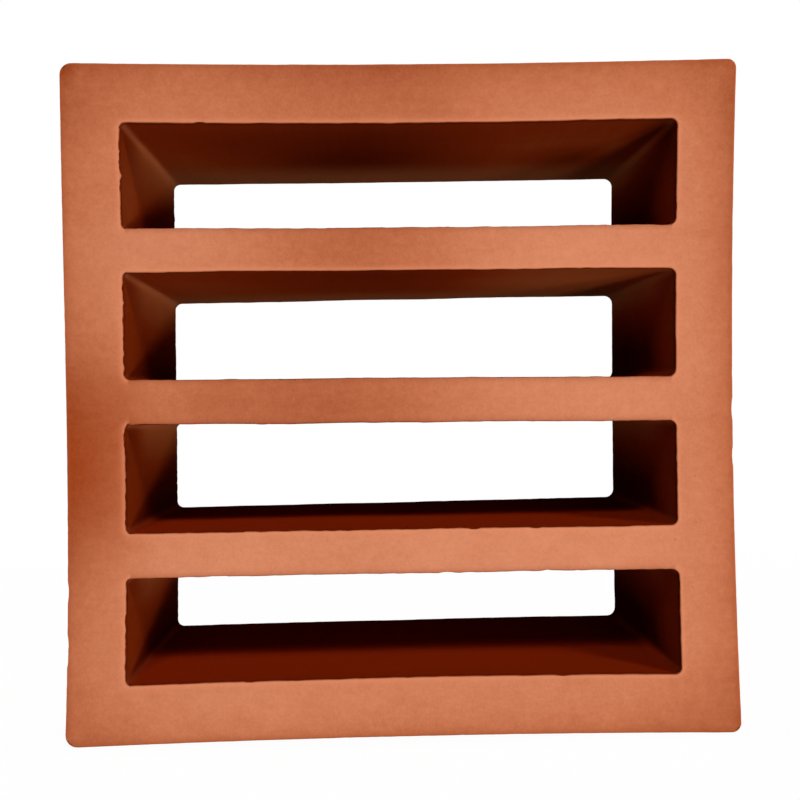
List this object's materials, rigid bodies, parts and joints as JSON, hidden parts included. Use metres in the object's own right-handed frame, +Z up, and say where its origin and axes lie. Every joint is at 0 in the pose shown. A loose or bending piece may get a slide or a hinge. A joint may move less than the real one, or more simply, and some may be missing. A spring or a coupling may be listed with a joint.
{
  "type": "terracotta breeze block",
  "caption": "Square fired-clay ventilation block pierced front to back by long level slots, laid in mortar to make a screen wall that lets air and light through.",
  "frame": {"origin": "middle of the bottom bed face, on the surface that the block stands on", "axes": "+Z up, +X along the slots' long side, +Y through the slots from the front face at -Y to the back face at +Y"},
  "size_m": [0.19, 0.09, 0.19],
  "materials": {
    "fired_clay": "matte"
  },
  "bodies": {
    "root": {"block": "fired_clay"}
  },
  "joints": []
}
